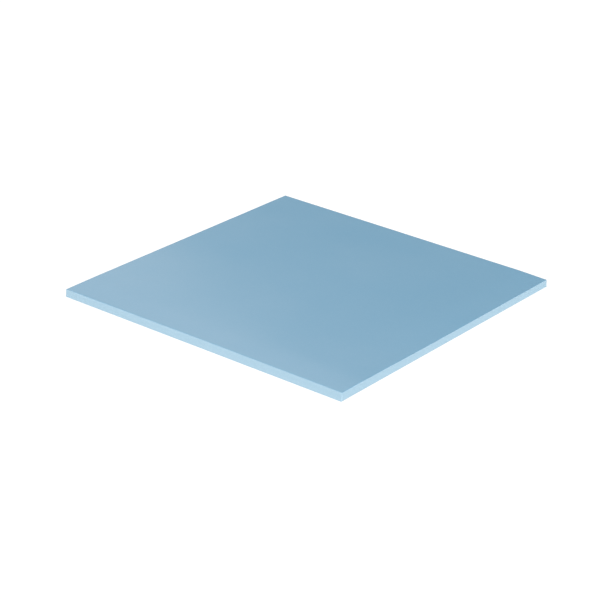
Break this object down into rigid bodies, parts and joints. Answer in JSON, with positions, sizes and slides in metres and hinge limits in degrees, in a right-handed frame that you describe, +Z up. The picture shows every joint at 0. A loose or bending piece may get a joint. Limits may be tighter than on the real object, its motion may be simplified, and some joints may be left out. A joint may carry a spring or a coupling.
{
  "type": "thermal pad sheet",
  "caption": "Square flat sheet of soft pale blue silicone that fills the gap between a hot part and its heatsink.",
  "frame": {"origin": "centre of the lower face, which lies on the floor", "axes": "+Z up through the sheet's thickness, +X and +Y along its two cut sides"},
  "size_m": [0.1, 0.1, 0.0025],
  "materials": {
    "thermal_silicone": "satin, smooth cast faces with paler matte cut sides"
  },
  "bodies": {
    "root": {"thermal_pad": "thermal_silicone"}
  },
  "joints": []
}
